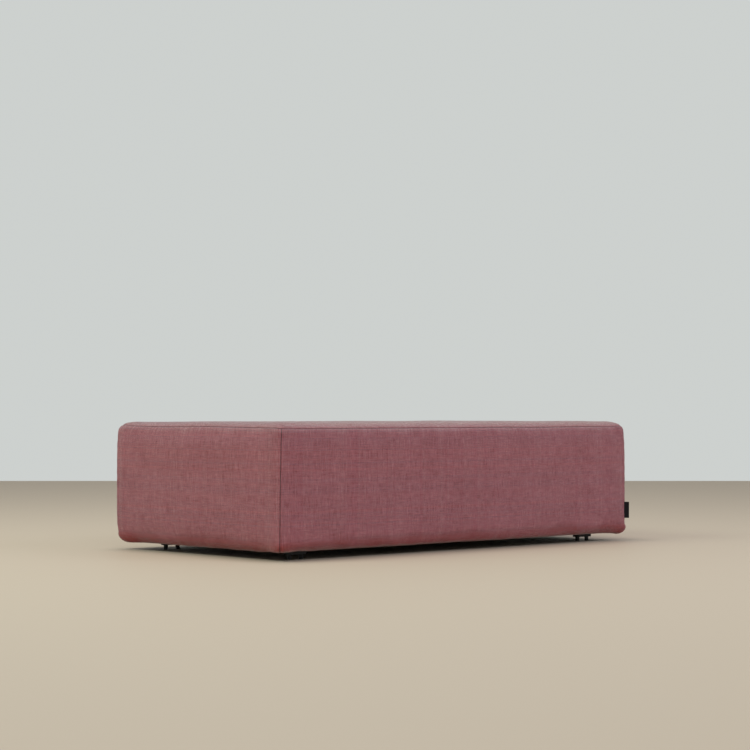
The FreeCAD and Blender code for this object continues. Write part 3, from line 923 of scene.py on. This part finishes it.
def makeTag():
    radius, fold, steps = block["cornerRadius"], tag["foldRadius"], tag["steps"]
    corner, rootAngle = math.radians(tag["corner"]), math.radians(tag["corner"] - tag["lean"])
    outward = np.array([math.cos(corner), math.sin(corner)])
    sideways = np.array([-outward[1], outward[0]])
    centre = np.array([halfLength - radius, -(halfWidth - radius)])
    root = centre + radius * np.array([math.cos(rootAngle), math.sin(rootAngle)])
    # One ply out from the seam, round the fold, and back: the distance out and the offset to the side
    ply = np.linspace(-tag["rootDepth"], tag["reach"] - fold, steps)
    angles = np.linspace(0, math.pi, steps)[1:-1]
    out = np.concatenate([ply, tag["reach"] - fold + fold * np.sin(angles), ply[::-1]])
    aside = np.concatenate([np.full(steps, -fold), -fold * np.cos(angles), np.full(steps, fold)])
    share = np.clip(out / tag["reach"], 0, 1)
    aside = aside * (tag["pressed"] + (1 - tag["pressed"]) * share)
    heights = np.linspace(tagLow.z, tagHigh.z, tag["rows"])
    out, level = gridOf(out, (heights - tagLow.z) / (tagHigh.z - tagLow.z))
    aside, share = aside[:, None] + 0 * level, share[:, None] + 0 * level
    aside = aside - tag["bend"] * share ** 2 * (0.7 + 0.6 * level) + tag["wave"] * share * np.sin(level * 7)
    plan = root + out[..., None] * outward + aside[..., None] * sideways
    points = np.concatenate([plan, heights[None, :, None] + 0 * plan[..., :1]], -1)
    # The map lies along the ribbon, in metres
    along = np.concatenate([[0], np.cumsum(np.linalg.norm(np.diff(points[:, 0], axis=0), axis=-1))])
    uvs = np.stack(np.broadcast_arrays(along[:, None], heights[None, :]), -1)
    piece = meshFrom("sideTag", points, gridFaces(*points.shape[:2]), uvs)
    modified(piece, "SOLIDIFY", thickness=tag["ribbon"], offset=0)
    modified(piece, "BEVEL", width=tag["softEdge"], segments=2, limit_method="ANGLE")
    flattened(piece)
    finishPiece(piece, "side_tag", makeTagRibbon())


makeTag()
print("tag made")


# The underside cloth, sagging a little between its staples

dustCloth = {
    "thickness": 0.4 * mm,
    "pitch": 9 * mm,
    "depth": 0.75 * mm,  # below the frame's solid top face
    "turnIn": 12 * mm,  # the folded edge
    "fold": 0.2 * mm,
    "foldReach": 2.5 * mm,
    "sag": 2.2 * mm,
    "sagReach": 90 * mm,
    "footReach": 70 * mm,
    "wrinkle": 0.35 * mm,
    "colour": rgb(0.012, 0.012, 0.013),
    "bondPitch": 1.1 * mm,
}
clothLow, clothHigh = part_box("dust_cover")
clothWaves = waveSet(21, 7, 60 * mm, 190 * mm, (1, 1, 0))
footNames = [f"foot_{side}_{end}" for side in ("front", "back") for end in ("left", "right")]


def makeUndersideCloth():
    # Spunbond: loose fibres pressed together in a grid of small dots
    material, tree = newMaterial("underside_cloth")
    place = objectPlace(tree)
    waveX, waveY = [maths("SINE", product(part, 2 * math.pi / dustCloth["bondPitch"]))
                    for part in axes(place, "XY")]
    dots = span(product(waveX, waveY), 0.2, 0.7)
    fibres = noise(place, 700.0, detail=4.0, roughness=0.7)
    tone = blended(0.5, fibres, noise(place, 60.0, detail=3.0))
    return surfaced(material, {
        "Base Color": shades(tone, dustCloth["colour"], 0.5, 1.7),
        "Normal": bumped(maths("SUBTRACT", fibres, dots), 0.15 * mm, 0.7),
        "Roughness": span(dots, 0.0, 1.0, 0.85, 0.55),
    })


def makeDustCloth():
    knownX, knownY = [np.linspace(low, high, round((high - low) / dustCloth["pitch"]))
                      for low, high in zip(clothLow[:2], clothHigh[:2])]
    x, y = gridOf(knownX, knownY)
    edge = np.minimum.reduce([x - clothLow.x, clothHigh.x - x, y - clothLow.y, clothHigh.y - y])
    inner = edge - dustCloth["turnIn"]
    # The cloth is tight at its edge and over the feet, and hangs a little elsewhere
    free = smooth(inner / dustCloth["sagReach"])
    for name in footNames:
        low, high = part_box(name)
        gapX = np.maximum(np.maximum(low.x - x, x - high.x), 0)
        gapY = np.maximum(np.maximum(low.y - y, y - high.y), 0)
        free = free * smooth(np.hypot(gapX, gapY) / dustCloth["footReach"])
    flat = np.stack([x, y, 0 * x], -1)
    sag = free * (dustCloth["sag"] + dustCloth["wrinkle"] * waves(flat, clothWaves))
    fold = dustCloth["fold"] * (1 - smooth(inner / dustCloth["foldReach"]))
    z = clothHigh.z - dustCloth["depth"] - np.maximum(sag, 0) - fold
    points = np.stack([x, y, z], -1)
    piece = meshFrom("dustCover", points, gridFaces(*x.shape, -1), np.stack([x, y], -1))
    thickened(piece, dustCloth["thickness"])
    finishPiece(piece, "dust_cover", makeUndersideCloth())


makeDustCloth()
print("underside cloth made")


# Its staples: flat wire, bent into two legs that are driven up into the frame

staple = {
    "crown": 10 * mm,
    "leg": 6 * mm,
    "wire": (1.2 * mm, 0.6 * mm),
    "bend": 0.8 * mm,
    "pitch": 80 * mm,
    "lean": 5,  # degrees that a staple may be turned by hand
    "seed": 12,
}


def makeStapleTree(material):
    tree = bpy.data.node_groups.new("staple rows", "GeometryNodeTree")
    tree.interface.new_socket("Geometry", in_out="OUTPUT", socket_type="NodeSocketGeometry")
    sizes = {"Run X": 0.7, "Run Y": 0.35, "Level": 0.03, "Pitch": staple["pitch"], "Crown": staple["crown"],
             "Leg": staple["leg"], "Wire width": staple["wire"][0], "Wire thickness": staple["wire"][1],
             "Bend": staple["bend"], "Lean": math.radians(staple["lean"])}
    given = [(name, "Float", value) for name, value in sizes.items()]
    for name, kind, value in given + [("Seed", "Int", staple["seed"]), ("Material", "Material", material)]:
        socket = tree.interface.new_socket(name, in_out="INPUT", socket_type="NodeSocket" + kind)
        socket.default_value = value
    given = addNode(tree, "NodeGroupInput").outputs

    def geometry(kind, inputs, **settings):
        return after("GeometryNode" + kind, inputs, **settings)[0]

    # One staple: three sides of a rectangle, its corners rounded, swept with the flat wire
    outline = geometry("CurvePrimitiveQuadrilateral", {"Width": given["Leg"], "Height": given["Crown"]})
    opened = geometry("SetSplineCyclic", {"Geometry": outline, "Cyclic": False})
    bent = geometry("FilletCurve", {"Curve": opened, "Radius": given["Bend"], "Count": 3}, mode="POLY")
    section = geometry("CurvePrimitiveQuadrilateral", {
        "Width": given["Wire width"], "Height": given["Wire thickness"]})
    wire = geometry("CurveToMesh", {"Curve": bent, "Profile Curve": section, "Fill Caps": True})
    shift = vector(X=product(given["Leg"], -0.5))
    seated = geometry("Transform", {"Geometry": wire, "Translation": shift})
    upright = geometry("Transform", {"Geometry": seated, "Rotation": (0.0, math.pi / 2, math.pi / 2)})

    # Four rows of places, each with its staples half a step from its ends
    rows = []
    for along, across, quarterTurn in (("X", "Y", 0.0), ("Y", "X", math.pi / 2)):
        run, offset = given["Run " + along], given["Run " + across]
        count = maths("FLOOR", maths("DIVIDE", product(run, 2.0), given["Pitch"]))
        step = maths("DIVIDE", product(run, 2.0), count)
        first = maths("SUBTRACT", product(step, 0.5), run)
        for sign in (-1.0, 1.0):
            start = vector(**{along: first, across: product(offset, sign), "Z": given["Level"]})
            line = geometry("MeshLine", {"Count": count, "Start Location": start,
                                         "Offset": vector(**{along: step})}, mode="OFFSET")
            turn = after("FunctionNodeRandomValue", {
                2: product(given["Lean"], -1.0), 3: given["Lean"],
                "Seed": total(given["Seed"], len(rows))}, data_type="FLOAT")[1]
            facing = vector(Z=total(turn, quarterTurn))
            places = {"Points": line, "Instance": upright, "Rotation": facing}
            rows.append(geometry("InstanceOnPoints", places))
    joined = addNode(tree, "GeometryNodeJoinGeometry")
    for row in rows:
        tree.links.new(row, joined.inputs[0])
    real = geometry("RealizeInstances", {"Geometry": joined.outputs[0]})
    shown = geometry("SetMaterial", {"Geometry": real, "Material": given["Material"]})
    addNode(tree, "NodeGroupOutput", {0: shown})
    return tree


def makeStaples(material):
    low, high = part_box("dust_cover_staples")
    tree = makeStapleTree(material)
    item = meshFrom("dustCoverStaples", np.zeros((0, 3)), np.zeros((0, 4), int))
    rows = item.modifiers.new("staples", "NODES")
    rows.node_group = tree
    wanted = {
        "Run X": (high.x - low.x - staple["wire"][0]) / 2,
        "Run Y": (high.y - low.y - staple["wire"][0]) / 2,
        "Level": clothLow.z - staple["wire"][1] / 2,
    }
    for socket in tree.interface.items_tree:
        if socket.name in wanted:
            rows[socket.identifier] = wanted[socket.name]
    flattened(item)
    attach(item, "root")
    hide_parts("dust_cover_staples")


# Finishes of the frame, the springs, the foams and the fittings

pine = {
    "early": rgb(0.66, 0.47, 0.27),
    "late": rgb(0.46, 0.27, 0.13),
    "ringPitch": 5 * mm,
    "stretch": 0.04,  # how slowly the figure changes along the grain
}
plywood = {"pale": rgb(0.60, 0.43, 0.25), "dark": rgb(0.38, 0.23, 0.12), "ply": 1.5 * mm}
foams = {
    "soft_foam": {"colour": rgb(0.78, 0.72, 0.52), "cell": 1.1 * mm},
    "firm_foam": {"colour": rgb(0.62, 0.66, 0.60), "cell": 0.8 * mm},
}
metals = {
    "spring_wire": {"colour": rgb(0.33, 0.33, 0.34), "roughness": (0.28, 0.46), "metallic": 1.0},
    "zinc_steel": {"colour": rgb(0.60, 0.60, 0.58), "roughness": (0.22, 0.42), "metallic": 1.0},
    "black_screws": {"colour": rgb(0.03, 0.03, 0.03), "roughness": (0.35, 0.55), "metallic": 0.4},
}
felt = {"colour": rgb(0.25, 0.24, 0.23), "fleck": rgb(0.42, 0.36, 0.34)}
footPlastic = {
    "colour": rgb(0.006, 0.006, 0.0065),
    "scuffed": rgb(0.06, 0.058, 0.055),
    "scuffHeight": 4 * mm,
    "grain": 0.35 * mm,
}


def makePine(axis):
    # Annual rings about the grain's own direction, with fine pores drawn out along it
    name = "XYZ"[axis]
    material, tree = newMaterial("pine_grain_" + name)
    stretch = [1.0, 1.0, 1.0]
    stretch[axis] = pine["stretch"]
    run = stretched(objectPlace(tree), stretch)
    rings = after("ShaderNodeTexWave", {
        "Vector": run, "Scale": math.pi / 10 / pine["ringPitch"], "Distortion": 3.0, "Detail": 2.0,
        "Detail Scale": 0.35}, wave_type="RINGS", rings_direction=name, wave_profile="SAW")["Fac"]
    pores, board = noise(run, 1500.0), noise(run, 12.0)
    late = maths("POWER", rings, 3.0)
    tone = total(span(pores, 0.3, 0.7, 0.92, 1.06), span(board, 0.3, 0.7, -0.06, 0.06))
    return surfaced(material, {
        "Base Color": scaled(mixed(late, pine["early"], pine["late"]), tone),
        "Normal": bumped(maths("SUBTRACT", pores, late), 0.12 * mm, 0.5),
        "Roughness": span(late, 0.0, 1.0, 0.62, 0.48),
    })


def makePlywood():
    # Plies show as stripes where a board is cut, and as one veneer on its faces
    material, tree = newMaterial("plywood")
    place = objectPlace(tree)
    [level] = axes(place, "Z")
    ply = maths("FLOOR", maths("DIVIDE", level, plywood["ply"]))
    crossed = maths("FLOORED_MODULO", ply, 2.0)
    grain = noise(stretched(place, (1.0, 0.06, 1.0)), 420.0, detail=4.0, roughness=0.6)
    figure = noise(stretched(place, (1.0, 0.2, 1.0)), 28.0, detail=3.0)
    share = total(product(crossed, 0.45),
                  span(blended(0.5, grain, figure), 0.3, 0.7, 0.0, 0.5), clamp=True)
    return surfaced(material, {
        "Base Color": mixed(share, plywood["pale"], plywood["dark"]),
        "Normal": bumped(grain, 0.1 * mm, 0.5),
        "Roughness": 0.6,
    })


def makeFoam(name):
    # Open cells, with painted shade darker in their hollows, and a slow change of tone through the block
    given = foams[name]
    material, tree = newMaterial(name)
    place = objectPlace(tree)
    pores = cells(place, given["cell"])
    tone = blended(0.35, noise(place, 16.0, detail=3.0), pores)
    return surfaced(material, {
        "Base Color": shades(tone, given["colour"], 0.84, 1.1),
        "Normal": bumped(pores, given["cell"] / 2, 0.8),
        "Roughness": 0.95,
    })


def makeFelt():
    # Needled grey waste fibres with paler flecks
    material, tree = newMaterial("felt")
    place = objectPlace(tree)
    lengthwise, crosswise = [noise(stretched(place, scale), detail=3.0)
                             for scale in ((150.0, 1100.0, 1100.0), (1100.0, 150.0, 1100.0))]
    fibres = maths("MAXIMUM", lengthwise, crosswise)
    ground = shades(noise(place, 35.0, detail=3.0), felt["colour"], 0.75, 1.2)
    return surfaced(material, {
        "Base Color": mixed(span(fibres, 0.60, 0.72), ground, felt["fleck"]),
        "Normal": bumped(fibres, 0.5 * mm, 0.8),
        "Roughness": 0.96,
    })


def makeMetal(name):
    # Drawn or plated steel: cloudy gloss and faint streaks
    given = metals[name]
    material, tree = newMaterial(name)
    place = objectPlace(tree)
    clouds = noise(place, 180.0, detail=4.0, roughness=0.6)
    return surfaced(material, {
        "Base Color": shades(clouds, given["colour"], 0.75, 1.2),
        "Normal": bumped(noise(place, 2400.0), 0.02 * mm, 0.5),
        "Roughness": span(clouds, 0.3, 0.7, *given["roughness"]),
        "Metallic": given["metallic"],
    })


def makeFootPlastic():
    # Fine moulded grain, with the pegs rubbed grey where they slide on the floor
    material, tree = newMaterial("foot_plastic")
    place = objectPlace(tree)
    clouds = noise(place, 260.0, detail=4.0, roughness=0.65)
    [level] = axes(place, "Z")
    rubbed = product(span(level, footPlastic["scuffHeight"], 0.0), clouds)
    plain = shades(clouds, footPlastic["colour"], 0.8, 1.3)
    return surfaced(material, {
        "Base Color": mixed(rubbed, plain, footPlastic["scuffed"]),
        "Normal": bumped(cells(place, footPlastic["grain"]), 0.04 * mm, 0.6),
        "Roughness": span(clouds, 0.3, 0.7, 0.36, 0.52),
        "Specular IOR Level": 0.3,
    })


def dressNodes():
    # Every piece of the frame that still shows takes the finish that its slot names
    finishes = {name: makeFoam(name) for name in foams}
    finishes.update({name: makeMetal(name) for name in metals})
    finishes.update({"plywood": makePlywood(), "felt": makeFelt(), "foot_plastic": makeFootPlastic()})
    pines = [makePine(axis) for axis in range(3)]
    for part in frame["record"]["subparts"]:
        name, slot = part["node"], part["material_slot"]
        finish = finishes.get(slot)
        if slot == "softwood":
            low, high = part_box(name)
            spans = list(high - low)
            finish = pines[spans.index(max(spans))]
        if finish:
            for place in frame["nodes"][name].material_slots:
                place.material = finish
    return finishes


finishes = dressNodes()
makeStaples(finishes["zinc_steel"])
print("frame, springs, fittings and staples finished")


# The foams: one padded core under the wadding, cut to the boards that it is glued up from

core = {
    "depth": 8.2 * mm,  # below the cover
    "seamDepth": 5.5 * mm,  # and deeper along the top seam
    "seamReach": 10 * mm,
    "levelTop": 52 * mm,  # how far in from the rounded edge its flat top begins
    "footEnd": 16 * mm,  # how far its skin goes on under the frame
    "rowPitch": 7 * mm,
    "columnPitch": 12 * mm,
    "sharpAngle": 40,
    "fill": 0.9,
}
boards = {
    "comfort_foam": "soft_foam",
    "seat_foam": "firm_foam",
    "front_side_foam": "firm_foam",
    "back_side_foam": "firm_foam",
    "left_side_foam": "firm_foam",
    "right_side_foam": "firm_foam",
}
# The planes that cut a side board free: the axis, the place on it, and the side that falls away
railX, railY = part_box("left_side_foam")[1].x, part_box("front_side_foam")[1].y
betweenRails = [("y", railY, -1), ("y", -railY, 1)]
cuts = {
    "front_side_foam": [("y", railY, 1)],
    "back_side_foam": [("y", -railY, -1)],
    "left_side_foam": betweenRails + [("x", railX, 1)],
    "right_side_foam": betweenRails + [("x", -railX, -1)],
}


def makeCore():
    # The skin runs round the block in rings, from the flat top down and in under the foot
    downs = np.arange(-core["levelTop"], turnEnd + core["footEnd"], core["rowPitch"])
    rings = []
    for side in sides.values():
        point = sideFrom(withoutLeans(side), 0.0)
        whole = 2 * sideHalf(side["half"])
        arc = np.linspace(0, halfArc, 5)
        straight = np.linspace(halfArc, whole - halfArc, round(whole / core["columnPitch"]))
        flat = np.concatenate([arc[:-1], straight, whole - arc[-2:0:-1]]) - whole / 2
        u, v = gridOf(flat, downs)
        inset = core["depth"] + core["seamDepth"] * nearby(v - seamDown, core["seamReach"])
        rings.append(point(u, v) - surfaceNormal(point, u, v, -1) * inset[..., None])
    points = np.concatenate(rings)
    columns, rows = points.shape[:2]
    work = bmesh.new()
    spots = [work.verts.new(spot) for spot in points.reshape(-1, 3)]
    for face in gridFaces(columns + 1, rows, -1) % (columns * rows):
        work.faces.new([spots[index] for index in face])
    work.faces.new(spots[::rows])
    work.faces.new(spots[rows - 1::rows][::-1])
    bmesh.ops.recalc_face_normals(work, faces=work.faces)
    return work


def sliced(work, axis, at, side):
    # Cut off what lies beyond a plane, and close the cut
    place, normal = Vector(), Vector()
    place["xyz".index(axis)], normal["xyz".index(axis)] = at, side
    everything = work.verts[:] + work.edges[:] + work.faces[:]
    cut = bmesh.ops.bisect_plane(work, geom=everything, dist=1e-6, plane_co=place, plane_no=normal,
                                 clear_outer=True)["geom_cut"]
    edges = [item for item in cut if isinstance(item, bmesh.types.BMEdge) and item.is_boundary]
    bmesh.ops.holes_fill(work, edges=edges, sides=0)


def makeFoamBoard(node, whole):
    low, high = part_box(node)
    work = whole.copy()
    if node != "comfort_foam":
        sliced(work, "z", high.z, 1)
    sliced(work, "z", low.z, -1)
    for cut in cuts.get(node, []):
        sliced(work, *cut)
    words = node.split("_")
    mesh = bpy.data.meshes.new(node)
    work.to_mesh(mesh)
    work.free()
    piece = addObject(words[0] + "".join(word.capitalize() for word in words[1:]), mesh)
    finishPiece(piece, node, finishes[boards[node]])
    mesh.set_sharp_from_angle(angle=math.radians(core["sharpAngle"]))


wholeCore = makeCore()
for boardName in boards:
    makeFoamBoard(boardName, wholeCore)
wholeCore.free()
print("foams made")


# The stage and the light

stage = {
    "floorColour": rgb(0.530, 0.441, 0.338),
    "floorRoughness": 0.65,
    "wallColour": rgb(0.61, 0.635, 0.62),
    "floorNear": 14.0,
    "wallDistance": 12.9,  # from the camera
    "wide": 20.0,  # to each side
    "skyLight": 0.425,
}
# Each lamp: place, width and height, power, colour
lamps = {
    "ceiling": ((-0.4, 0.3, 5.0), (1.8, 1.8), 84.0, (1.0, 0.96, 0.92)),
    "leftWindow": ((-4.6, 1.3, 4.3), (3.0, 2.4), 117.0, (0.84, 1.0, 0.87)),
    "frontRight": ((1.7, -4.7, 3.4), (3.0, 2.4), 75.0, (0.77, 0.82, 1.0)),
    "front": ((-4.8, -5.2, 4.2), (5.0, 2.5), 87.0, (0.98, 0.98, 1.0)),
}
lampTarget = (0, 0, 0.2)


def makeFloor():
    material = newMaterial("floor")[0]
    surfaced(material, {"Base Color": stage["floorColour"], "Roughness": stage["floorRoughness"]})
    yaw = math.radians(camera["yaw"])
    ahead = np.array([math.sin(yaw), math.cos(yaw), 0.0])
    right = np.array([math.cos(yaw), -math.sin(yaw), 0.0])
    foot = np.array([*camera["position"][:2], 0.0])
    near, far, wide = -stage["floorNear"], stage["wallDistance"], stage["wide"]
    ends = ((near, -wide), (near, wide), (far, wide), (far, -wide))
    spots = [foot + ahead * along + right * across for along, across in ends]
    floor = meshFrom("floor", np.array(spots), np.array([[0, 1, 2, 3]]))
    floor.data.materials.append(material)


def makeRoom():
    # A soft light from all round, and the wall's own colour where it is looked at
    world = bpy.data.worlds.new("room")
    scene.world = world
    world.use_nodes = True
    tree = world.node_tree
    tree.nodes.clear()
    path = addNode(tree, "ShaderNodeLightPath").outputs
    seen = maths("MAXIMUM", path["Is Camera Ray"], path["Is Glossy Ray"])
    seen = maths("MAXIMUM", seen, path["Is Transmission Ray"])
    lighting = addNode(tree, "ShaderNodeBackground", {"Color": white, "Strength": stage["skyLight"]})
    backdrop = addNode(tree, "ShaderNodeBackground", {"Color": stage["wallColour"], "Strength": 1.0})
    shown = after("ShaderNodeMixShader", {0: seen, 1: lighting.outputs[0], 2: backdrop.outputs[0]})[0]
    addNode(tree, "ShaderNodeOutputWorld", {"Surface": shown})


def makeLamps():
    for name, (position, (width, height), power, colour) in lamps.items():
        data = bpy.data.lights.new(name, "AREA")
        setAll(data, shape="RECTANGLE", size=width, size_y=height, energy=power, color=colour)
        placed(addObject(name, data), position, Vector(lampTarget) - Vector(position))


makeFloor()
makeRoom()
makeLamps()
scene.view_settings.view_transform = "Standard"
print("stage and lamps made")
